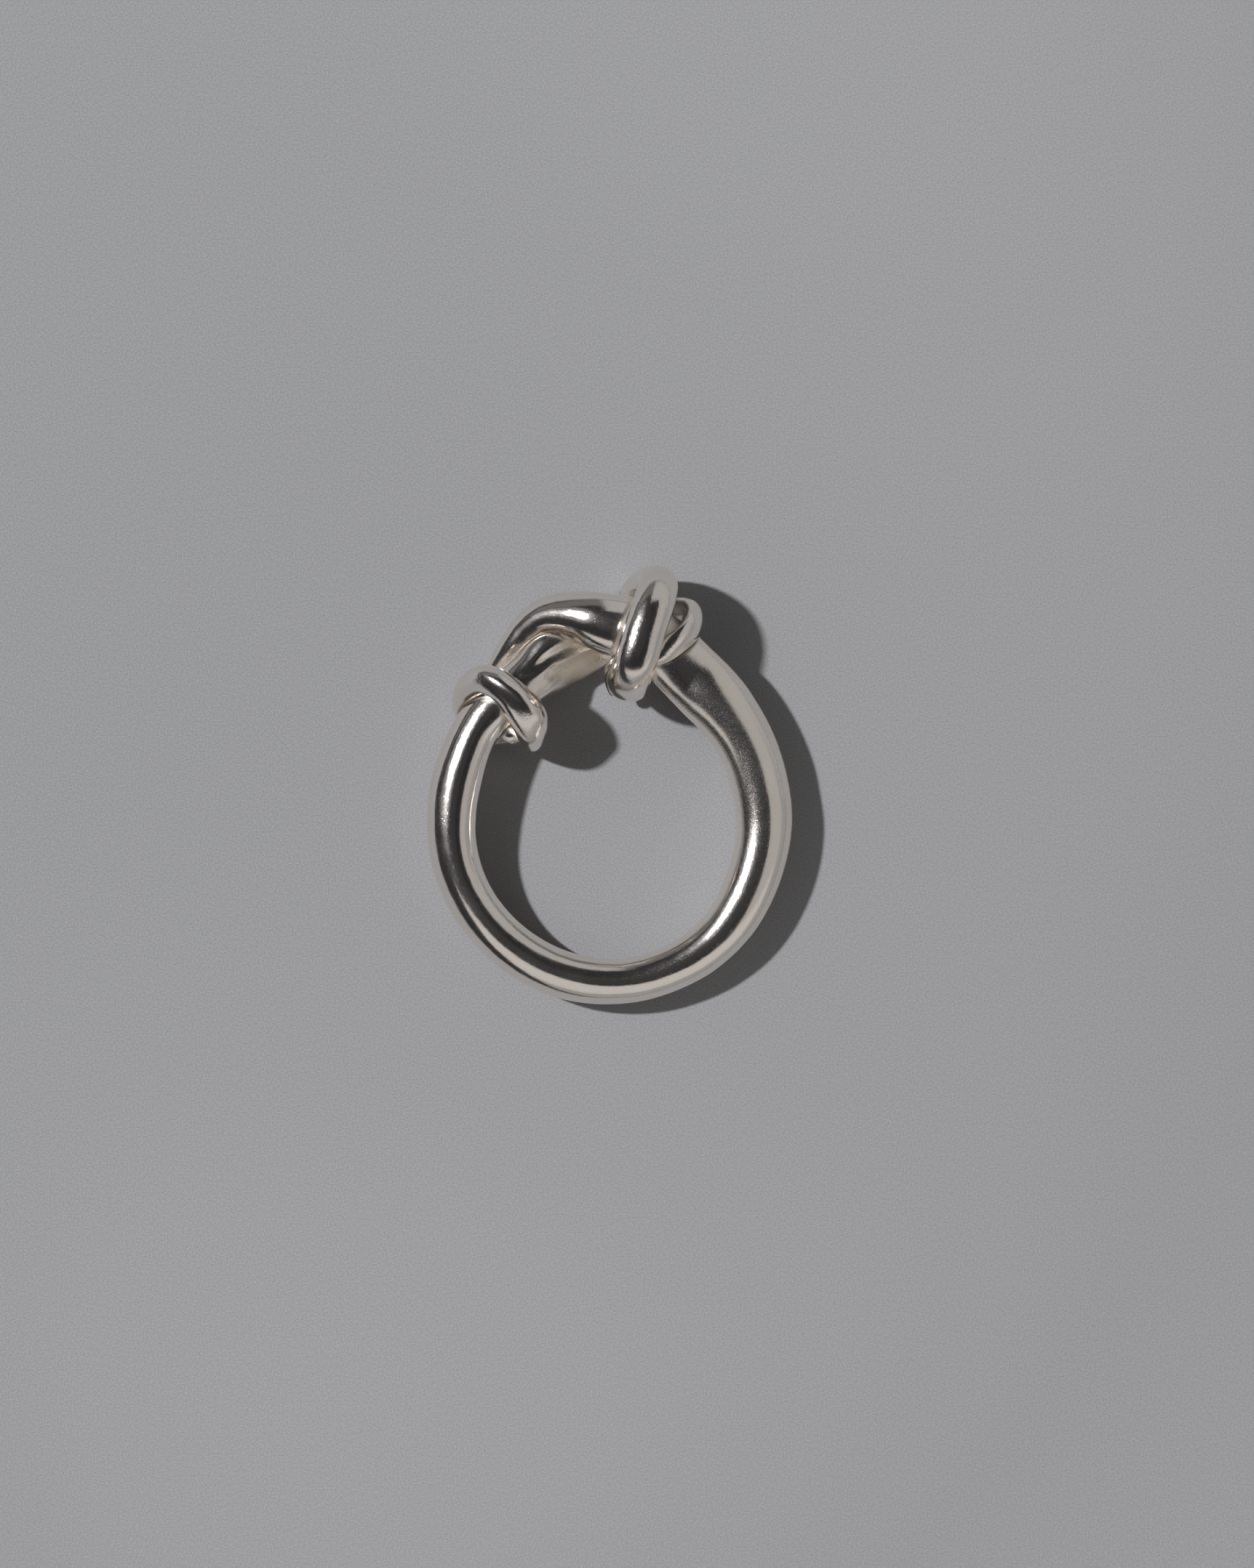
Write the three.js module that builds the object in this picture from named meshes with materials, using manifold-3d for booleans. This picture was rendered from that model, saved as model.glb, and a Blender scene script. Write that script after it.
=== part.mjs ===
// Knotted finger ring, lying on its side with its finger axis upright.
// Millimetres, +Z up, origin under the centre of the ring's own box, +Y towards the knots.
//
// Two polished, tapered rods make the ring. The first runs from the right knot round the
// finger as the shank, passes through the left knot, crosses to the right knot as the
// inner strand and is wound there round the second rod. The second rod leaves the right
// knot as the outer strand and is wound round the first in the left knot. Each rod is
// made of formed lengths that meet end to end inside the knots.
import * as THREE from 'three';
import { mergeVertices } from 'three/addons/utils/BufferGeometryUtils.js';
import Module from 'manifold-3d';

// ---- driving dimensions (mm) ----
const SCALE = 1;            // 1 = ring with a 16.6 mm finger hole
const SEAM_GAP = 0.06;      // joint between two formed lengths, end to end
const FIT_GAP = 0.03;       // clearance where one rod is seated on another
const CLEAN = 0.0015;       // slivers smaller than this are merged after a cut
const SHANK_SIDES = 18;     // facets round the thick rods
const TURN_SIDES = 16;      // facets round the knot turns
const TIP_SIDES = 12;       // facets round the thin tails

// Rod tables. Each row is a station on the rod's centre line:
// x, y, z, half width, thickness above, thickness below, and the direction of "above".
const RING_LINE = [
  [1.36, 9.93, 3.46, 2.023, 1.38, 1.22, 0, 0, 1],
  [2.384, 9.372, 3.22, 2.07, 1.38, 1.22, 0, 0, 1],
  [3.5, 8.674, 2.9, 2.093, 1.4, 1.22, 0, 0, 1],
  [5.209, 7.076, 2.52, 2.116, 1.42, 1.24, 0, 0, 1],
  [6.142, 6.14, 2.36, 2.149, 1.6, 1.32, 0, 0, 1],
  [7.335, 4.788, 2.12, 2.037, 1.7, 1.4, 0, 0, 1],
  [8.332, 3.347, 1.86, 1.935, 1.74, 1.42, 0, 0, 1],
  [9.084, 1.795, 1.66, 1.902, 1.74, 1.42, 0, 0, 1],
  [9.587, 0.167, 1.52, 1.884, 1.74, 1.4, 0, 0, 1],
  [9.854, -1.504, 1.44, 1.86, 1.74, 1.38, 0, 0, 1],
  [9.868, -3.195, 1.39, 1.823, 1.72, 1.36, 0, 0, 1],
  [9.569, -4.86, 1.36, 1.781, 1.7, 1.35, 0, 0, 1],
  [9.033, -6.469, 1.34, 1.749, 1.66, 1.34, 0, 0, 1],
  [8.267, -7.999, 1.33, 1.688, 1.62, 1.33, 0, 0, 1],
  [7.246, -9.397, 1.32, 1.609, 1.57, 1.32, 0, 0, 1],
  [5.963, -10.582, 1.31, 1.535, 1.5, 1.31, 0, 0, 1],
  [4.467, -11.505, 1.31, 1.493, 1.46, 1.31, 0, 0, 1],
  [2.827, -12.161, 1.34, 1.46, 1.43, 1.3, 0, 0, 1],
  [1.089, -12.533, 1.4, 1.451, 1.42, 1.29, 0, 0, 1],
  [-0.696, -12.561, 1.47, 1.474, 1.43, 1.29, 0, 0, 1],
  [-2.464, -12.282, 1.54, 1.507, 1.46, 1.3, 0, 0, 1],
  [-4.154, -11.682, 1.62, 1.526, 1.49, 1.31, 0, 0, 1],
  [-5.709, -10.784, 1.7, 1.53, 1.51, 1.32, 0, 0, 1],
  [-7.084, -9.63, 1.78, 1.535, 1.53, 1.33, 0, 0, 1],
  [-8.253, -8.266, 1.86, 1.544, 1.55, 1.34, 0, 0, 1],
  [-9.173, -6.719, 1.94, 1.567, 1.57, 1.35, 0, 0, 1],
  [-9.79, -5.025, 2.02, 1.581, 1.59, 1.36, 0, 0, 1],
  [-10.089, -3.249, 2.1, 1.609, 1.6, 1.36, 0, 0, 1],
  [-10.056, -1.452, 2.18, 1.637, 1.6, 1.36, 0, 0, 1],
  [-9.754, 0.318, 2.26, 1.651, 1.58, 1.35, 0, 0, 1],
  [-9.198, 2.116, 2.34, 1.558, 1.5, 1.3, 0, 0, 1],
  [-8.5, 3.651, 2.44, 1.512, 1.42, 1.26, 0, 0, 1],
  [-7.523, 4.907, 2.54, 1.512, 1.36, 1.24, 0, 0, 1],
  [-6.314, 5.884, 2.58, 1.535, 1.34, 1.24, 0, 0, 1],
  [-5.035, 6.837, 2.2, 1.744, 1.24, 1.14, 0.168, -0.298, 0.94],
  [-3.663, 7.884, 1.74, 2.233, 1.06, 1, 0.281, -0.499, 0.819],
  [-2.105, 8.674, 1.48, 2.14, 1.02, 0.96, 0.281, -0.499, 0.819],
  [-0.663, 9.349, 1.18, 1.721, 1, 0.96, 0.207, -0.368, 0.906],
  [0.523, 10.302, 1, 1.395, 0.98, 0.96, 0, 0, 1],
  [1.267, 11.419, 1.08, 1.326, 1, 0.98, -0.1, 0.35, 0.9],
  [1.872, 12.302, 1.6, 1.279, 1.08, 1.04, -0.35, 0.8, -0.35],
  [2.523, 12.814, 2.55, 1.279, 1.14, 1.2, -0.2, 1, -0.1],
  [2.942, 12.86, 3.6, 1.279, 1.16, 1.3, 0, 1, 0.25],
  [3.035, 12.488, 4.7, 1.302, 1.16, 1.3, 0, 0.8, 0.7],
  [2.802, 11.605, 5.55, 1.326, 1.16, 1.18, 0, 0.3, 1],
  [2.477, 10.674, 5.9, 1.349, 1.16, 1.1, 0, 0.05, 1],
  [2.151, 9.698, 6.05, 1.349, 1.16, 1.1, 0, 0, 1],
  [1.872, 8.721, 6.05, 1.349, 1.16, 1.1, 0, -0.05, 1],
  [1.593, 7.791, 5.8, 1.349, 1.16, 1.1, 0, -0.25, 1],
  [1.314, 6.953, 5.05, 1.349, 1.14, 1.08, -0.1, -0.7, 0.8],
  [1.174, 6.442, 3.9, 1.349, 1.12, 1.06, -0.2, -1, 0.2],
  [1.267, 6.488, 2.7, 1.302, 1.05, 1, -0.2, -1, -0.3],
  [1.547, 7, 1.6, 1.256, 0.85, 0.8, -0.2, -0.6, -0.8],
  [2.012, 7.791, 0.86, 1.209, 0.66, 0.6, 0, -0.2, -1],
  [2.57, 8.721, 0.62, 1.163, 0.6, 0.56, 0, 0, -1],
  [3.174, 9.744, 0.6, 1.07, 0.58, 0.54, 0, 0, -1],
  [3.686, 10.674, 0.72, 0.93, 0.54, 0.5, 0.1, 0.2, -1],
  [4.198, 11.372, 1.15, 0.791, 0.44, 0.42, 0.25, 0.9, -0.6],
  [4.802, 11.605, 1.85, 0.791, 0.42, 0.4, 0.25, 1, 0],
  [5.314, 11.279, 2.7, 0.884, 0.47, 0.44, 0.76, 0.55, 0.32],
  [5.43, 10.674, 3.5, 0.977, 0.5, 0.46, 0.88, 0.06, 0.44],
  [5.128, 9.93, 4.15, 1.023, 0.5, 0.46, 0.76, -0.3, 0.56],
  [4.5, 9.256, 4.42, 1.023, 0.48, 0.44, 0.56, -0.52, 0.64],
  [3.733, 8.744, 4.5, 0.907, 0.47, 0.42, 0.36, -0.42, 0.83],
  [2.942, 8.372, 4.44, 0.744, 0.48, 0.42, 0.08, -0.12, 1],
  [2.105, 8.163, 4.42, 0.651, 0.44, 0.4, 0, 0, 1],
  [1.314, 8.07, 4.28, 0.581, 0.42, 0.38, 0, 0, 1],
  [0.663, 7.93, 3.95, 0.512, 0.42, 0.36, -0.3, 0, 1],
  [0.198, 7.558, 3.4, 0.465, 0.42, 0.36, -0.7, 0, 0.8],
  [0.012, 7.047, 2.85, 0.419, 0.4, 0.34, -0.8, -0.2, 0.6],
];

const OUTER_LINE = [
  [3.5, 8.674, 2.9, 2.093, 1.4, 1.22, 0, 0, 1],
  [2.384, 9.372, 3.22, 2.07, 1.38, 1.22, 0, 0, 1],
  [1.36, 9.93, 3.46, 2.023, 1.38, 1.22, 0, 0, 1],
  [0.151, 10.233, 3.66, 1.977, 1.53, 1.26, 0, 0, 1],
  [-0.965, 10.512, 3.58, 1.837, 1.5, 1.24, 0, 0, 1],
  [-2.035, 10.744, 3.2, 1.651, 1.43, 1.2, 0, 0, 1],
  [-3.151, 10.814, 2.7, 1.465, 1.31, 1.14, 0, 0, 1],
  [-4.221, 10.558, 2.24, 1.326, 1.18, 1.04, 0, 0, 1],
  [-5.151, 9.907, 1.86, 1.209, 1.06, 0.92, 0, 0, 1],
  [-5.942, 9, 1.52, 1.093, 0.94, 0.8, 0, 0, 1],
  [-6.593, 7.93, 1.05, 1.047, 0.8, 0.68, 0, 0, 1],
  [-6.965, 6.814, 0.76, 1.047, 0.64, 0.58, 0, 0, 1],
  [-6.872, 5.698, 0.62, 1.047, 0.56, 0.54, 0, 0, 1],
  [-6.453, 4.628, 0.6, 1.07, 0.56, 0.54, 0, 0, 1],
  [-5.849, 3.698, 0.8, 1.116, 0.62, 0.6, -0.3, 0.3, 1],
  [-5.291, 3.372, 1.5, 1.233, 0.8, 0.8, -0.8, 0.5, 0.45],
  [-4.895, 3.419, 2.6, 1.349, 0.98, 0.92, -1, 0.3, 0.1],
  [-4.942, 3.791, 3.52, 1.372, 1.04, 0.98, -0.9, 0.2, -0.4],
  [-5.221, 4.395, 4.34, 1.279, 1.04, 0.98, -0.4, 0, -0.9],
  [-5.756, 5.14, 4.84, 1.163, 0.98, 0.94, -0.1, 0, -1],
  [-6.36, 5.837, 4.95, 1.033, 0.96, 0.92, 0, 0, -1],
  [-7.105, 6.395, 4.76, 1.014, 0.94, 0.9, 0.2, -0.1, -1],
  [-7.895, 6.721, 4.2, 0.953, 0.92, 0.88, 0.6, -0.5, -0.7],
  [-8.64, 6.535, 3.32, 0.921, 0.88, 0.84, 0.8, -0.6, -0.2],
  [-9.151, 5.977, 2.38, 0.907, 0.84, 0.8, 0.85, -0.5, 0.15],
  [-9.314, 5.233, 1.5, 0.93, 0.74, 0.72, 0.8, -0.3, 0.5],
  [-8.919, 4.442, 0.86, 0.953, 0.6, 0.58, 0.3, -0.1, 1],
  [-8.221, 3.791, 0.66, 0.93, 0.58, 0.56, 0, 0, 1],
  [-7.384, 3.465, 1.05, 0.93, 0.66, 0.62, 0, 0, 1],
  [-6.593, 3.419, 1.62, 0.907, 0.72, 0.68, -0.15, 0, 1],
  [-5.895, 3.558, 2.15, 0.791, 0.72, 0.66, -0.3, 0, 1],
];


// A smooth curve through the stations that carries the section with it.
class Rod extends THREE.Curve {
  constructor(rows) {
    super();
    this.rows = rows.map((r) => r.slice());
    this.knots = [0];
    for (let i = 1; i < rows.length; i++) {
      const a = new THREE.Vector3(...rows[i - 1]);
      const b = new THREE.Vector3(...rows[i]);
      this.knots.push(this.knots[i - 1] + a.distanceTo(b));
    }
  }

  slope(i) {
    const { rows: p, knots: t } = this;
    const n = p.length - 1;
    const k = Math.min(Math.max(i, 1), n - 1);
    const h0 = t[k] - t[k - 1];
    const h1 = t[k + 1] - t[k];
    return p[k].map((v, c) => {
      const d0 = (v - p[k - 1][c]) / h0;
      const d1 = (p[k + 1][c] - v) / h1;
      if (i < k) return 2 * d0 - (d0 * h1 + d1 * h0) / (h0 + h1);
      if (i > k) return 2 * d1 - (d0 * h1 + d1 * h0) / (h0 + h1);
      return (d0 * h1 + d1 * h0) / (h0 + h1);
    });
  }

  // every column of the table at station u (a number of rows, with a fraction)
  station(u) {
    const n = this.rows.length - 1;
    const i = Math.min(Math.max(Math.floor(u), 0), n - 1);
    const f = u - i;
    const h = this.knots[i + 1] - this.knots[i];
    const p0 = this.rows[i];
    const p1 = this.rows[i + 1];
    const m0 = this.slope(i);
    const m1 = this.slope(i + 1);
    const f2 = f * f;
    const f3 = f2 * f;
    return p0.map((v, c) => (2 * f3 - 3 * f2 + 1) * v + (f3 - 2 * f2 + f) * h * m0[c]
      + (-2 * f3 + 3 * f2) * p1[c] + (f3 - f2) * h * m1[c]);
  }

  getPoint(t, target = new THREE.Vector3()) {
    const s = this.station(t * (this.rows.length - 1));
    return target.set(s[0], s[1], s[2]);
  }

  // station number at a distance (mm) along the rod from station u
  advance(u, distance) {
    const step = 0.002;
    let left = Math.abs(distance);
    const sign = Math.sign(distance) || 1;
    let at = u;
    let here = new THREE.Vector3(...this.station(at));
    while (left > 0) {
      at += sign * step;
      const next = new THREE.Vector3(...this.station(at));
      left -= next.distanceTo(here);
      here = next;
    }
    return at;
  }

  // section frame and half sizes at station u
  frame(u) {
    const e = 0.02;
    const s = this.station(u);
    const centre = new THREE.Vector3(s[0], s[1], s[2]);
    const tangent = new THREE.Vector3(...this.station(u + e))
      .sub(new THREE.Vector3(...this.station(u - e))).normalize();
    const above = new THREE.Vector3(s[6], s[7], s[8]);
    above.addScaledVector(tangent, -above.dot(tangent)).normalize();
    const side = new THREE.Vector3().crossVectors(tangent, above);
    return { centre, tangent, above, side, width: s[3], top: s[4], bottom: s[5] };
  }
}

const ringRod = new Rod(RING_LINE);
const outerRod = new Rod(OUTER_LINE);

// A closed length of rod between stations u0 and u1: a capped cylinder laid along the curve.
// tip0 and tip1 round an end over to a blunt nose.
function length(rod, u0, u1, steps, sides, { tip0 = false, tip1 = false, grow = 0 } = {}) {
  const rings = [];
  for (let i = 0; i <= steps; i++) rings.push({ u: u0 + ((u1 - u0) * i) / steps, k: 1 });
  const nose = (end) => {
    const here = rod.frame(end ? u1 : u0);
    const r = Math.min(here.width, here.top);
    const list = [];
    for (const q of [0.35, 0.65, 0.86, 0.97]) {
      const back = r * (1 - q);
      const u = rod.advance(end ? u1 : u0, end ? -back : back);
      list.push({ u, k: Math.sqrt(1 - q * q) });
    }
    return list;
  };
  if (tip1) {
    const list = nose(true);
    while (rings[rings.length - 1].u > list[0].u - 0.02) rings.pop();
    rings.push(...list);
  }
  if (tip0) {
    const list = nose(false);
    while (rings[0].u < list[0].u + 0.02) rings.shift();
    rings.unshift(...list.reverse());
  }
  const geometry = new THREE.CylinderGeometry(1, 1, 1, sides, rings.length - 1, false);
  geometry.deleteAttribute('normal');
  geometry.deleteAttribute('uv');
  const p = geometry.attributes.position;
  const v = new THREE.Vector3();
  for (let i = 0; i < p.count; i++) {
    v.fromBufferAttribute(p, i);
    const row = Math.round((v.y + 0.5) * (rings.length - 1));
    const { u, k } = rings[row];
    const f = rod.frame(u);
    const rise = v.z > 0 ? f.top : f.bottom;
    const spot = f.centre.clone()
      .addScaledVector(f.side, v.x * (f.width * k + grow))
      .addScaledVector(f.above, v.z * (rise * k + grow));
    p.setXYZ(i, spot.x * SCALE, spot.y * SCALE, spot.z * SCALE);
  }
  return mergeVertices(geometry, 1e-4);
}

const wasm = await Module();
wasm.setup();

function toSolid(geometry) {
  return new wasm.Manifold(new wasm.Mesh({
    numProp: 3,
    vertProperties: new Float32Array(geometry.attributes.position.array),
    triVerts: new Uint32Array(geometry.index.array),
  }));
}

function toGeometry(solid) {
  const mesh = solid.getMesh();
  const geometry = new THREE.BufferGeometry();
  geometry.setAttribute('position', new THREE.BufferAttribute(new Float32Array(mesh.vertProperties), 3));
  geometry.setIndex(new THREE.BufferAttribute(new Uint32Array(mesh.triVerts), 1));
  return geometry;
}

// the biggest body that a cut leaves
function biggest(solid) {
  const parts = solid.decompose();
  parts.sort((a, b) => b.volume() - a.volume());
  return parts[0];
}

// ---- the formed lengths: [rod, first station, last station, steps, sides, tips] ----
const S = {
  hoop_shank: [ringRod, 1.0, 33.0, 62, SHANK_SIDES, {}],
  inner_strand: [ringRod, 33.0, 38.4, 14, SHANK_SIDES, {}],
  right_knot_front_turn: [ringRod, 38.4, 55.0, 34, TURN_SIDES, {}],
  right_knot_back_turn: [ringRod, 55.0, 58.3, 8, TURN_SIDES, {}],
  right_knot_loop: [ringRod, 58.3, 66.4, 18, TURN_SIDES, {}],
  right_knot_tail: [ringRod, 66.4, 70.8, 9, TIP_SIDES, { tip1: true }],
  outer_strand: [outerRod, 1.0, 11.0, 24, SHANK_SIDES, {}],
  left_knot_back_turn: [outerRod, 11.0, 13.6, 6, TURN_SIDES, {}],
  left_knot_front_turn: [outerRod, 13.6, 26.0, 30, TURN_SIDES, {}],
  left_knot_tail: [outerRod, 26.0, 30.0, 8, TIP_SIDES, { tip1: true }],
};

function build(name, grow = 0) {
  const [rod, from, to, steps, sides, tips] = S[name];
  const start = tips.tip0 ? from : rod.advance(from, SEAM_GAP / 2 - grow);
  const end = tips.tip1 ? to : rod.advance(to, -SEAM_GAP / 2 + grow);
  return toSolid(length(rod, start, end, steps, sides, { ...tips, grow }));
}

// The rods that carry the knots keep their full section; what is wound on them is seated
// on them with a small clearance.
const SEATED = {
  hoop_shank: [],
  outer_strand: ['hoop_shank'],
  inner_strand: ['hoop_shank', 'outer_strand'],
  right_knot_tail: ['hoop_shank', 'outer_strand', 'inner_strand'],
  right_knot_loop: ['hoop_shank', 'outer_strand', 'right_knot_tail'],
  right_knot_back_turn: ['hoop_shank', 'outer_strand', 'right_knot_loop'],
  right_knot_front_turn: ['hoop_shank', 'outer_strand', 'inner_strand', 'right_knot_tail',
    'right_knot_loop', 'right_knot_back_turn'],
  left_knot_back_turn: ['hoop_shank', 'inner_strand', 'outer_strand'],
  left_knot_tail: ['hoop_shank', 'inner_strand', 'outer_strand', 'left_knot_back_turn'],
  left_knot_front_turn: ['hoop_shank', 'inner_strand', 'outer_strand', 'left_knot_back_turn',
    'left_knot_tail'],
};

const ring = new THREE.Group();
ring.name = 'knotted_ring';

const silver = (shade, roughness) => new THREE.MeshStandardMaterial({
  color: new THREE.Color(shade), metalness: 1, roughness,
});
const FINISH = {
  hoop_shank: [0xd6d2cd, 0.16],
  inner_strand: [0xd3cfc9, 0.18],
  outer_strand: [0xd6d2cd, 0.16],
};

for (const [name, cutters] of Object.entries(SEATED)) {
  let solid = build(name);
  for (const other of cutters) solid = solid.subtract(build(other, FIT_GAP));
  if (cutters.length) solid = biggest(solid).asOriginal().simplify(CLEAN);
  const mesh = new THREE.Mesh(toGeometry(biggest(solid)), silver(...(FINISH[name] || [0xd4d0ca, 0.2])));
  mesh.name = name;
  ring.add(mesh);
}

export default ring;
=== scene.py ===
"""Looks for the knotted silver finger ring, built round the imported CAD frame.

Two tapered rods make the ring. Their tables are in millimetres, in the frame's own axes, and
every piece below is a high-resolution length of one of them that stands for one CAD node.
"""
import math

import bpy
import numpy as np
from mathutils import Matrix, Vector
from mathutils.bvhtree import BVHTree


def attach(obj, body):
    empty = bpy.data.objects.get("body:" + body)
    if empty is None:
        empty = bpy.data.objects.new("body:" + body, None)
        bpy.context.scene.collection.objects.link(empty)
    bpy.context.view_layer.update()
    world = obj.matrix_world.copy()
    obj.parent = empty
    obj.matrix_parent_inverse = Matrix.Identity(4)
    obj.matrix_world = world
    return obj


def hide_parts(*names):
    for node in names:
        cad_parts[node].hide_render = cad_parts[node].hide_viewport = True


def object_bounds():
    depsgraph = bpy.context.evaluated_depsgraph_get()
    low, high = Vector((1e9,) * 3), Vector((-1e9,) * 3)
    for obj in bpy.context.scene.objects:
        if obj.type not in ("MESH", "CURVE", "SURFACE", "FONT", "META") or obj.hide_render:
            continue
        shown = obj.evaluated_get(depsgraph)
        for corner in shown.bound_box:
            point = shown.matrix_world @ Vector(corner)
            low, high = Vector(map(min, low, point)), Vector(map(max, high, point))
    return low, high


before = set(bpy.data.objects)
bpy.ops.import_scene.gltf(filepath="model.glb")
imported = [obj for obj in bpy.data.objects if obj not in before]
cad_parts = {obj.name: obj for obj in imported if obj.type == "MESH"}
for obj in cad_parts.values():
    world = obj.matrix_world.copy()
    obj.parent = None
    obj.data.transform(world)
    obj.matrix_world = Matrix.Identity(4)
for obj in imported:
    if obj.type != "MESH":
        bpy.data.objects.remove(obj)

CAD_BOX = [list(v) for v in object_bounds()]
MM = 0.001

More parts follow.
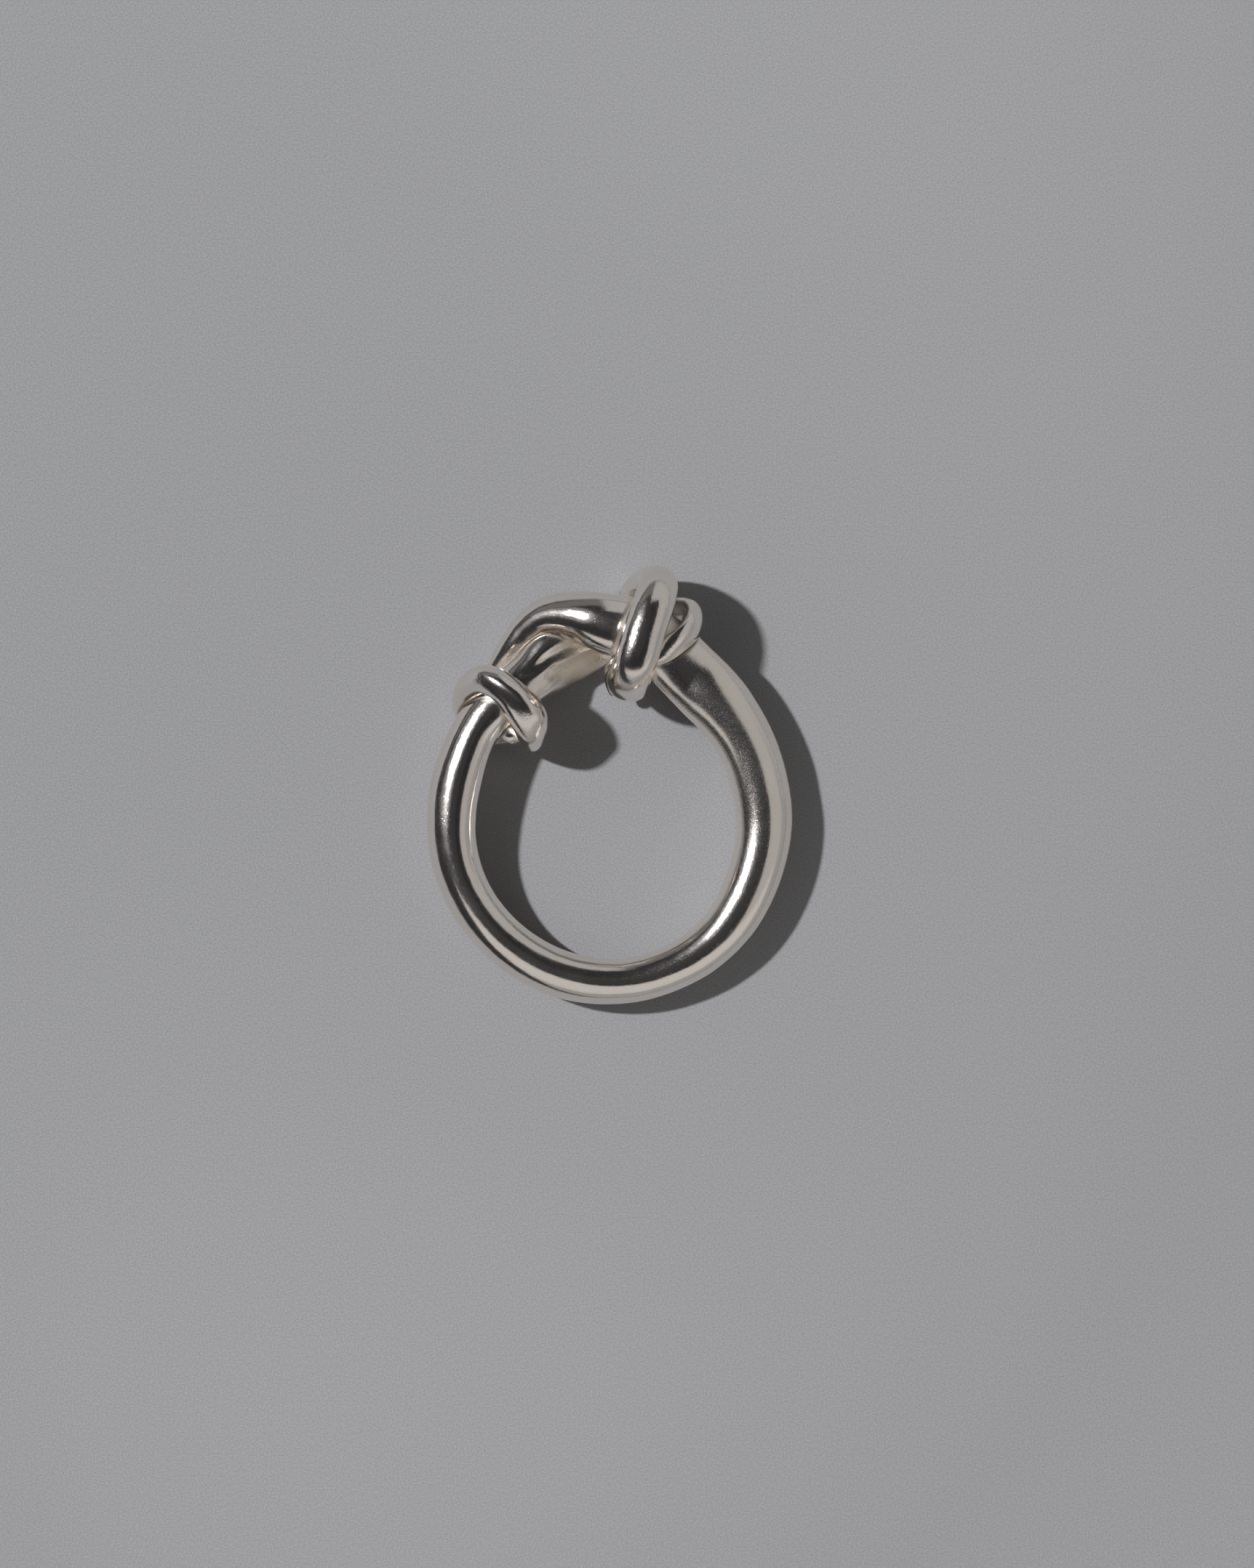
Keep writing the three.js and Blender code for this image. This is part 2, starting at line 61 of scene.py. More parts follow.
# Rod tables. Each row is a station on the rod's centre line:
# x, y, z, half width, thickness above, thickness below, and the direction of "above".
RING_LINE = [
    [1.36, 9.93, 3.46, 2.023, 1.38, 1.22, 0, 0, 1],
    [2.384, 9.372, 3.22, 2.07, 1.38, 1.22, 0, 0, 1],
    [3.5, 8.674, 2.9, 2.093, 1.4, 1.22, 0, 0, 1],
    [5.209, 7.076, 2.52, 2.116, 1.42, 1.24, 0, 0, 1],
    [6.142, 6.14, 2.36, 2.149, 1.6, 1.32, 0, 0, 1],
    [7.335, 4.788, 2.12, 2.037, 1.7, 1.4, 0, 0, 1],
    [8.332, 3.347, 1.86, 1.935, 1.74, 1.42, 0, 0, 1],
    [9.084, 1.795, 1.66, 1.902, 1.74, 1.42, 0, 0, 1],
    [9.587, 0.167, 1.52, 1.884, 1.74, 1.4, 0, 0, 1],
    [9.854, -1.504, 1.44, 1.86, 1.74, 1.38, 0, 0, 1],
    [9.868, -3.195, 1.39, 1.823, 1.72, 1.36, 0, 0, 1],
    [9.569, -4.86, 1.36, 1.781, 1.7, 1.35, 0, 0, 1],
    [9.033, -6.469, 1.34, 1.749, 1.66, 1.34, 0, 0, 1],
    [8.267, -7.999, 1.33, 1.688, 1.62, 1.33, 0, 0, 1],
    [7.246, -9.397, 1.32, 1.609, 1.57, 1.32, 0, 0, 1],
    [5.963, -10.582, 1.31, 1.535, 1.5, 1.31, 0, 0, 1],
    [4.467, -11.505, 1.31, 1.493, 1.46, 1.31, 0, 0, 1],
    [2.827, -12.161, 1.34, 1.46, 1.43, 1.3, 0, 0, 1],
    [1.089, -12.533, 1.4, 1.451, 1.42, 1.29, 0, 0, 1],
    [-0.696, -12.561, 1.47, 1.474, 1.43, 1.29, 0, 0, 1],
    [-2.464, -12.282, 1.54, 1.507, 1.46, 1.3, 0, 0, 1],
    [-4.154, -11.682, 1.62, 1.526, 1.49, 1.31, 0, 0, 1],
    [-5.709, -10.784, 1.7, 1.53, 1.51, 1.32, 0, 0, 1],
    [-7.084, -9.63, 1.78, 1.535, 1.53, 1.33, 0, 0, 1],
    [-8.253, -8.266, 1.86, 1.544, 1.55, 1.34, 0, 0, 1],
    [-9.173, -6.719, 1.94, 1.567, 1.57, 1.35, 0, 0, 1],
    [-9.79, -5.025, 2.02, 1.581, 1.59, 1.36, 0, 0, 1],
    [-10.089, -3.249, 2.1, 1.609, 1.6, 1.36, 0, 0, 1],
    [-10.056, -1.452, 2.18, 1.637, 1.6, 1.36, 0, 0, 1],
    [-9.754, 0.318, 2.26, 1.651, 1.58, 1.35, 0, 0, 1],
    [-9.198, 2.116, 2.34, 1.558, 1.5, 1.3, 0, 0, 1],
    [-8.5, 3.651, 2.44, 1.512, 1.42, 1.26, 0, 0, 1],
    [-7.523, 4.907, 2.54, 1.512, 1.36, 1.24, 0, 0, 1],
    [-6.314, 5.884, 2.58, 1.535, 1.34, 1.24, 0, 0, 1],
    [-5.035, 6.837, 2.2, 1.744, 1.24, 1.14, 0.168, -0.298, 0.94],
    [-3.663, 7.884, 1.74, 2.233, 1.06, 1, 0.281, -0.499, 0.819],
    [-2.105, 8.674, 1.48, 2.14, 1.02, 0.96, 0.281, -0.499, 0.819],
    [-0.663, 9.349, 1.18, 1.721, 1, 0.96, 0.207, -0.368, 0.906],
    [0.523, 10.302, 1, 1.395, 0.98, 0.96, 0, 0, 1],
    [1.267, 11.419, 1.08, 1.326, 1, 0.98, -0.1, 0.35, 0.9],
    [1.872, 12.302, 1.6, 1.279, 1.08, 1.04, -0.35, 0.8, -0.35],
    [2.523, 12.814, 2.55, 1.279, 1.14, 1.2, -0.2, 1, -0.1],
    [2.942, 12.86, 3.6, 1.279, 1.16, 1.3, 0, 1, 0.25],
    [3.035, 12.488, 4.7, 1.302, 1.16, 1.3, 0, 0.8, 0.7],
    [2.802, 11.605, 5.55, 1.326, 1.16, 1.18, 0, 0.3, 1],
    [2.477, 10.674, 5.9, 1.349, 1.16, 1.1, 0, 0.05, 1],
    [2.151, 9.698, 6.05, 1.349, 1.16, 1.1, 0, 0, 1],
    [1.872, 8.721, 6.05, 1.349, 1.16, 1.1, 0, -0.05, 1],
    [1.593, 7.791, 5.8, 1.349, 1.16, 1.1, 0, -0.25, 1],
    [1.314, 6.953, 5.05, 1.349, 1.14, 1.08, -0.1, -0.7, 0.8],
    [1.174, 6.442, 3.9, 1.349, 1.12, 1.06, -0.2, -1, 0.2],
    [1.267, 6.488, 2.7, 1.302, 1.05, 1, -0.2, -1, -0.3],
    [1.547, 7, 1.6, 1.256, 0.85, 0.8, -0.2, -0.6, -0.8],
    [2.012, 7.791, 0.86, 1.209, 0.66, 0.6, 0, -0.2, -1],
    [2.57, 8.721, 0.62, 1.163, 0.6, 0.56, 0, 0, -1],
    [3.174, 9.744, 0.6, 1.07, 0.58, 0.54, 0, 0, -1],
    [3.686, 10.674, 0.72, 0.93, 0.54, 0.5, 0.1, 0.2, -1],
    [4.198, 11.372, 1.15, 0.791, 0.44, 0.42, 0.25, 0.9, -0.6],
    [4.802, 11.605, 1.85, 0.791, 0.42, 0.4, 0.25, 1, 0],
    [5.314, 11.279, 2.7, 0.884, 0.47, 0.44, 0.76, 0.55, 0.32],
    [5.43, 10.674, 3.5, 0.977, 0.5, 0.46, 0.88, 0.06, 0.44],
    [5.128, 9.93, 4.15, 1.023, 0.5, 0.46, 0.76, -0.3, 0.56],
    [4.5, 9.256, 4.42, 1.023, 0.48, 0.44, 0.56, -0.52, 0.64],
    [3.733, 8.744, 4.5, 0.907, 0.47, 0.42, 0.36, -0.42, 0.83],
    [2.942, 8.372, 4.44, 0.744, 0.48, 0.42, 0.08, -0.12, 1],
    [2.105, 8.163, 4.42, 0.651, 0.44, 0.4, 0, 0, 1],
    [1.314, 8.07, 4.28, 0.581, 0.42, 0.38, 0, 0, 1],
    [0.663, 7.93, 3.95, 0.512, 0.42, 0.36, -0.3, 0, 1],
    [0.198, 7.558, 3.4, 0.465, 0.42, 0.36, -0.7, 0, 0.8],
    [0.012, 7.047, 2.85, 0.419, 0.4, 0.34, -0.8, -0.2, 0.6],
]
OUTER_LINE = [
    [3.5, 8.674, 2.9, 2.093, 1.4, 1.22, 0, 0, 1],
    [2.384, 9.372, 3.22, 2.07, 1.38, 1.22, 0, 0, 1],
    [1.36, 9.93, 3.46, 2.023, 1.38, 1.22, 0, 0, 1],
    [0.151, 10.233, 3.66, 1.977, 1.53, 1.26, 0, 0, 1],
    [-0.965, 10.512, 3.58, 1.837, 1.5, 1.24, 0, 0, 1],
    [-2.035, 10.744, 3.2, 1.651, 1.43, 1.2, 0, 0, 1],
    [-3.151, 10.814, 2.7, 1.465, 1.31, 1.14, 0, 0, 1],
    [-4.221, 10.558, 2.24, 1.326, 1.18, 1.04, 0, 0, 1],
    [-5.151, 9.907, 1.86, 1.209, 1.06, 0.92, 0, 0, 1],
    [-5.942, 9, 1.52, 1.093, 0.94, 0.8, 0, 0, 1],
    [-6.593, 7.93, 1.05, 1.047, 0.8, 0.68, 0, 0, 1],
    [-6.965, 6.814, 0.76, 1.047, 0.64, 0.58, 0, 0, 1],
    [-6.872, 5.698, 0.62, 1.047, 0.56, 0.54, 0, 0, 1],
    [-6.453, 4.628, 0.6, 1.07, 0.56, 0.54, 0, 0, 1],
    [-5.849, 3.698, 0.8, 1.116, 0.62, 0.6, -0.3, 0.3, 1],
    [-5.291, 3.372, 1.5, 1.233, 0.8, 0.8, -0.8, 0.5, 0.45],
    [-4.895, 3.419, 2.6, 1.349, 0.98, 0.92, -1, 0.3, 0.1],
    [-4.942, 3.791, 3.52, 1.372, 1.04, 0.98, -0.9, 0.2, -0.4],
    [-5.221, 4.395, 4.34, 1.279, 1.04, 0.98, -0.4, 0, -0.9],
    [-5.756, 5.14, 4.84, 1.163, 0.98, 0.94, -0.1, 0, -1],
    [-6.36, 5.837, 4.95, 1.033, 0.96, 0.92, 0, 0, -1],
    [-7.105, 6.395, 4.76, 1.014, 0.94, 0.9, 0.2, -0.1, -1],
    [-7.895, 6.721, 4.2, 0.953, 0.92, 0.88, 0.6, -0.5, -0.7],
    [-8.64, 6.535, 3.32, 0.921, 0.88, 0.84, 0.8, -0.6, -0.2],
    [-9.151, 5.977, 2.38, 0.907, 0.84, 0.8, 0.85, -0.5, 0.15],
    [-9.314, 5.233, 1.5, 0.93, 0.74, 0.72, 0.8, -0.3, 0.5],
    [-8.919, 4.442, 0.86, 0.953, 0.6, 0.58, 0.3, -0.1, 1],
    [-8.221, 3.791, 0.66, 0.93, 0.58, 0.56, 0, 0, 1],
    [-7.384, 3.465, 1.05, 0.93, 0.66, 0.62, 0, 0, 1],
    [-6.593, 3.419, 1.62, 0.907, 0.72, 0.68, -0.15, 0, 1],
    [-5.895, 3.558, 2.15, 0.791, 0.72, 0.66, -0.3, 0, 1],
]


# ------------------------------------------------------------------ rods
class Rod:
    """A smooth curve through the stations that carries the section with it."""

    def __init__(self, rows):
        self.p = np.array(rows, float)
        gap = np.linalg.norm(np.diff(self.p[:, :3], axis=0), axis=1)
        self.t = np.concatenate([[0], np.cumsum(gap)])
        p, t, n = self.p, self.t, len(self.p) - 1
        m = np.zeros_like(p)
        for i in range(n + 1):
            k = min(max(i, 1), n - 1)
            h0, h1 = t[k] - t[k - 1], t[k + 1] - t[k]
            d0, d1 = (p[k] - p[k - 1]) / h0, (p[k + 1] - p[k]) / h1
            mid = (d0 * h1 + d1 * h0) / (h0 + h1)
            m[i] = mid if i == k else (2 * d0 - mid if i < k else 2 * d1 - mid)
        self.m = m

    def station(self, u):
        u = np.atleast_1d(np.asarray(u, float))
        n = len(self.p) - 1
        i = np.clip(np.floor(u).astype(int), 0, n - 1)
        f = (u - i)[:, None]
        h = (self.t[i + 1] - self.t[i])[:, None]
        f2, f3 = f * f, f * f * f
        return ((2 * f3 - 3 * f2 + 1) * self.p[i] + (f3 - 2 * f2 + f) * h * self.m[i]
                + (-2 * f3 + 3 * f2) * self.p[i + 1] + (f3 - f2) * h * self.m[i + 1])

    def frame(self, u, e=0.02):
        st = self.station(u)
        tangent = self.station(np.asarray(u) + e)[:, :3] - self.station(np.asarray(u) - e)[:, :3]
        tangent /= np.linalg.norm(tangent, axis=1)[:, None]
        above = st[:, 6:9] - tangent * np.sum(st[:, 6:9] * tangent, 1)[:, None]
        above /= np.linalg.norm(above, axis=1)[:, None]
        return st, tangent, above, np.cross(tangent, above)

    def lengths(self, u0, u1, count=4000):
        """Stations and the distance (mm) along the rod at each."""
        u = np.linspace(u0, u1, count)
        c = self.station(u)[:, :3]
        s = np.concatenate([[0], np.cumsum(np.linalg.norm(np.diff(c, axis=0), axis=1))])
        return u, s


RING_ROD = Rod(RING_LINE)
OUTER_ROD = Rod(OUTER_LINE)


def ripple_field(seed, shortest, longest, waves):
    """A smooth random field of the place in space, from a sum of plane waves."""
    rng = np.random.default_rng(seed)
    d = rng.normal(size=(waves, 3))
    d /= np.linalg.norm(d, axis=1)[:, None]
    k = d * (2 * math.pi / rng.uniform(shortest, longest, waves))[:, None]
    ph = rng.uniform(0, 2 * math.pi, waves)
    return lambda p: np.sin(p @ k.T + ph).sum(1) * math.sqrt(2 / waves)


HAND_RIPPLE = ripple_field(11, 2.2, 5.5, 26)      # hand finishing: long, faint hollows
FINE_RIPPLE = ripple_field(29, 0.7, 1.6, 34)      # polishing wheel: shorter and fainter


def length_of_rod(name, rod, u0, u1, sides, step, tip=False, crown=None):
    """One closed length of rod between two stations, with a rounded nose where tip is set."""
    u, s = rod.lengths(u0, u1)
    total = s[-1]
    rings = max(4, int(round(total / step)))
    at = np.linspace(0, total, rings + 1)
    scale = np.ones(rings + 1)
    if tip:
        end = rod.station(u1)[0]
        r = min(end[3], end[4])
        body = np.linspace(0, total - r, max(3, int(round((total - r) / step))) + 1)
        q = np.sin(np.linspace(0, math.pi / 2, 15)[1:-1])
        at = np.concatenate([body, total - r + r * q])
        scale = np.concatenate([np.ones(len(body)), np.sqrt(1 - q * q)])
    ua = np.interp(at, s, u)
    st, tangent, above, side = rod.frame(ua)
    phi = -math.pi / 2 + 2 * math.pi * np.arange(sides) / sides
    c, sn = np.cos(phi)[None, :], np.sin(phi)[None, :]
    a = (st[:, 3] * scale)[:, None]
    up, down = (st[:, 4] * scale)[:, None], (st[:, 5] * scale)[:, None]
    half, lean = (up + down) / 2, (up - down) / 2
    across = a * c
    rise = (half + lean * sn) * sn
    if crown is not None:
        # extra swells and hollows on one face of the section: (face, [(height, place, spread)])
        face, swells = crown(ua)
        lift = sum(h[:, None] * np.exp(-((c - t) / w) ** 2) for h, t, w in swells)
        rise = rise + face * scale[:, None] * half * lift * np.clip(face * sn, 0, 1) ** 0.5
    pts = (st[:, None, :3] + side[:, None, :] * across[..., None] + above[:, None, :] * rise[..., None])
    # outward direction of the section, for the ripple
    out = side[:, None, :] * (c / np.maximum(a, 0.05))[..., None] + above[:, None, :] * (sn / np.maximum(half, 0.05))[..., None]
    out /= np.linalg.norm(out, axis=2)[..., None]
    flat = pts.reshape(-1, 3)
    wave = (0.0075 * HAND_RIPPLE(flat) + 0.0011 * FINE_RIPPLE(flat)).reshape(len(at), sides)
    wave *= np.minimum(1, a / 1.0)
    pts = pts + out * wave[..., None]

    n = len(at)
    verts = pts.reshape(-1, 3)
    first = st[0, :3]
    last = rod.station(u1)[0, :3] if tip else st[-1, :3]
    verts = np.vstack([verts, first, last]) * MM
    idx = np.arange(n * sides).reshape(n, sides)
    nxt = np.roll(idx, -1, axis=1)
    quads = np.stack([idx[:-1], nxt[:-1], nxt[1:], idx[1:]], -1).reshape(-1, 4)
    cap0 = np.stack([np.full(sides, n * sides), nxt[0], idx[0]], -1)
    cap1 = np.stack([np.full(sides, n * sides + 1), idx[-1], nxt[-1]], -1)
    faces = [tuple(map(int, f)) for f in quads] + [tuple(map(int, f)) for f in cap0] + [tuple(map(int, f)) for f in cap1]

    mesh = bpy.data.meshes.new(name)
    mesh.from_pydata(verts.tolist(), [], faces)
    mesh.polygons.foreach_set("use_smooth", [True] * len(faces))
    # distances along and round the rod, in mm, for the brushed marks
    girth = 2 * math.pi * float(np.mean(np.sqrt((st[:, 3] ** 2 + st[:, 4] ** 2) / 2)))
    layer = mesh.uv_layers.new(name="rod")
    offset = float(u0) * 3.7
    v0 = np.arange(sides) / sides * girth
    uv = np.zeros((len(quads), 4, 2))
    along = np.repeat(at[:-1], sides) + offset
    beyond = np.repeat(at[1:], sides) + offset
    lowv = np.tile(v0, n - 1)
    highv = lowv + girth / sides
    uv[:, 0] = np.stack([along, lowv], -1)
    uv[:, 1] = np.stack([along, highv], -1)
    uv[:, 2] = np.stack([beyond, highv], -1)
    uv[:, 3] = np.stack([beyond, lowv], -1)
    caps = np.zeros((len(cap0) + len(cap1), 3, 2))
    caps[:len(cap0), :, 0] = offset
    caps[len(cap0):, :, 0] = total + offset
    layer.data.foreach_set("uv", np.concatenate([uv.reshape(-1), caps.reshape(-1)]).astype(np.float32))
    # flat hidden ends meet their neighbour at a clean edge
    ends = set()
    for row, flat_end in ((0, True), (n - 1, not tip)):
        if flat_end:
            ends |= {tuple(sorted((int(idx[row, j]), int(nxt[row, j])))) for j in range(sides)}
    for e in mesh.edges:
        if tuple(sorted(e.vertices)) in ends:
            e.use_edge_sharp = True
    mesh.validate()
    mesh.update()
    obj = bpy.data.objects.new(name, mesh)
    bpy.context.scene.collection.objects.link(obj)
    GRIDS[name] = (pts * MM, out)
    return obj


GRIDS = {}


# ------------------------------------------------------------------ pieces
F = 1.0
# node: rod, first station, last station, facets round, ring spacing (mm), nose at the end
LENGTHS = {
    "hoop_shank": (RING_ROD, 1.0, 33.0, 112, 0.11, False),
    "inner_strand": (RING_ROD, 33.0, 38.4, 104, 0.09, False),
    "right_knot_front_turn": (RING_ROD, 38.4, 55.0, 96, 0.07, False),
    "right_knot_back_turn": (RING_ROD, 55.0, 58.3, 80, 0.08, False),
    "right_knot_loop": (RING_ROD, 58.3, 66.4, 80, 0.06, False),
    "right_knot_tail": (RING_ROD, 66.4, 70.8, 64, 0.05, True),
    "outer_strand": (OUTER_ROD, 1.0, 11.0, 112, 0.09, False),
    "left_knot_back_turn": (OUTER_ROD, 11.0, 13.6, 80, 0.07, False),
    "left_knot_front_turn": (OUTER_ROD, 13.6, 26.0, 88, 0.06, False),
    "left_knot_tail": (OUTER_ROD, 26.0, 30.0, 72, 0.05, True),
}
# pieces that follow each other on one rod: they meet end to end and don't count as touching
CHAINS = [
    ["right_knot_tail", "right_knot_loop", "right_knot_back_turn", "right_knot_front_turn",
     "inner_strand", "hoop_shank", "outer_strand", "left_knot_back_turn",
     "left_knot_front_turn", "left_knot_tail"],
]



def shank_crown(u):
    """The shank's left side is crowned; its right side and low side are plain rounds."""
    left = np.interp(u, [17, 24, 31, 32.8], [0, 1, 1, 0])
    return 1, [(0.075 * left, 0.07, 0.50)]


def slope_crown(u):
    """The inner strand: a crest beside the outer strand, a trough, a ridge and a shallow waist."""
    mid = np.interp(u, [33.4, 34.6, 36.6, 37.9], [0, 1, 1, 0])
    return 1, [(0.12 * mid, -0.80, 0.17), (-0.13 * mid, -0.45, 0.17), (0.06 * mid, -0.22, 0.12),
               (-0.06 * mid, 0.12, 0.20)]


def turn_crown(u):
    """The left knot's front turn is crowned towards the strands."""
    front = np.interp(u, [15.5, 17, 22, 23.5], [0, 1, 1, 0])
    return -1, [(0.12 * front, -0.22, 0.45)]


CROWNS = {"hoop_shank": shank_crown, "inner_strand": slope_crown, "left_knot_front_turn": turn_crown}

pieces = {}
for node, (rod, u0, u1, sides, step, tip) in LENGTHS.items():
    pieces[node] = length_of_rod(node + "_silver", rod, u0, u1, int(sides / F) // 4 * 4, step * F, tip,
                                 CROWNS.get(node))


def nooks():
    """How deep each point lies in a nook between two rods, from 0 in the open to 1 at the touch."""
    trees, order = {}, CHAINS[0]
    for node, o in pieces.items():
        v = [p.co for p in o.data.vertices]
        trees[node] = BVHTree.FromPolygons(v, [tuple(f.vertices) for f in o.data.polygons])
    for node, o in pieces.items():
        k = order.index(node)
        near = {order[j] for j in (k - 1, k, k + 1) if 0 <= j < len(order)}
        others = [trees[m] for m in pieces if m not in near]
        value = np.zeros(len(o.data.vertices), np.float32)
        reach = 0.45 * MM
        for i, p in enumerate(o.data.vertices):
            best = reach
            for t in others:
                hit = t.find_nearest(p.co, best)
                if hit[0] is not None:
                    best = min(best, hit[3])
            value[i] = 1 - best / reach
        # this depth paints shade into the base colour in the creases and dulls the metal there
        layer = o.data.attributes.new("nook", "FLOAT", "POINT")
        layer.data.foreach_set("value", value)


nooks()


def hollows(rays=40, reach=5.0):
    """How much of the sky over each point the other rods take, from 0 in the open towards 1.
    A polishing wheel can't reach into a hollow, so the metal stays satin there."""
    verts, polys = [], []
    for o in pieces.values():
        base = len(verts)
        verts += [p.co for p in o.data.vertices]
        polys += [tuple(base + k for k in f.vertices) for f in o.data.polygons]
    tree = BVHTree.FromPolygons(verts, polys)
    k = np.arange(rays) + 0.5
    radius, turn = np.sqrt(k / rays), k * math.pi * (3 - math.sqrt(5))
    local = np.stack([radius * np.cos(turn), radius * np.sin(turn), np.sqrt(1 - k / rays)], -1)
    for o in pieces.values():
        pts, out = GRIDS[o.name]
        n, sides = pts.shape[:2]
        ri = np.unique(np.concatenate([np.arange(0, n, 4), [n - 1]]))
        si = np.arange(0, sides, 4)
        value = np.zeros((len(ri), len(si)))
        for a, i in enumerate(ri):
            for b, j in enumerate(si):
                nrm = out[i, j]
                t = np.cross(nrm, (0.0, 0.0, 1.0) if abs(nrm[2]) < 0.9 else (1.0, 0.0, 0.0))
                t /= np.linalg.norm(t)
                dirs = local @ np.stack([t, np.cross(nrm, t), nrm])
                start = Vector(pts[i, j] + nrm * 0.03 * MM)
                hits = 0
                for d in dirs:
                    if tree.ray_cast(start, Vector(d), reach * MM)[0] is not None:
                        hits += 1
                value[a, b] = hits / rays
        # back to every vertex, smoothly
        wrap = np.concatenate([value, value[:, :1]], 1)
        full_s = np.stack([np.interp(np.arange(sides), np.append(si, sides), row) for row in wrap])
        full = np.stack([np.interp(np.arange(n), ri, full_s[:, j]) for j in range(sides)], 1)
        flat = np.concatenate([full.reshape(-1), [full[0].mean(), full[-1].mean()]]).astype(np.float32)
        layer = o.data.attributes.new("hollow", "FLOAT", "POINT")
        layer.data.foreach_set("value", flat[:len(o.data.vertices)])


hollows()
for node, o in pieces.items():
    # the cast skin shows on the tops of the knots
    z = np.array([v.co.z for v in o.data.vertices]) / MM
    high = np.clip((z - 1.6) / 1.6, 0, 1) * ("knot" in node)
    layer = o.data.attributes.new("cast", "FLOAT", "POINT")
    layer.data.foreach_set("value", (0.3 + 0.7 * high).astype(np.float32))
    # the inner strand is left satin where it dives under the outer one, and there the same mask paints
    # shade: a darker, golden base colour
    x = np.array([v.co.x for v in o.data.vertices]) / MM
    t = np.clip(np.minimum((x + 4.3) / 2.0, (0.75 - x) / 1.9), 0, 1) if node == "inner_strand" else x * 0
    # fine scuffs: most on the thick side of the shank; every other piece has the same light amount
    y = np.array([v.co.y for v in o.data.vertices]) / MM
    worn = 0.30 + x * 0
    if node == "hoop_shank":
        worn = 0.30 + 0.70 * np.clip(np.cos(np.arctan2(y + 2.35, x - 0.2) - 0.62), 0, 1) ** 2.5
    layer = o.data.attributes.new("worn", "FLOAT", "POINT")
    layer.data.foreach_set("value", worn.astype(np.float32))
    layer = o.data.attributes.new("unbuffed_and_shaded", "FLOAT", "POINT")
    layer.data.foreach_set("value", (t * t * (3 - 2 * t)).astype(np.float32))


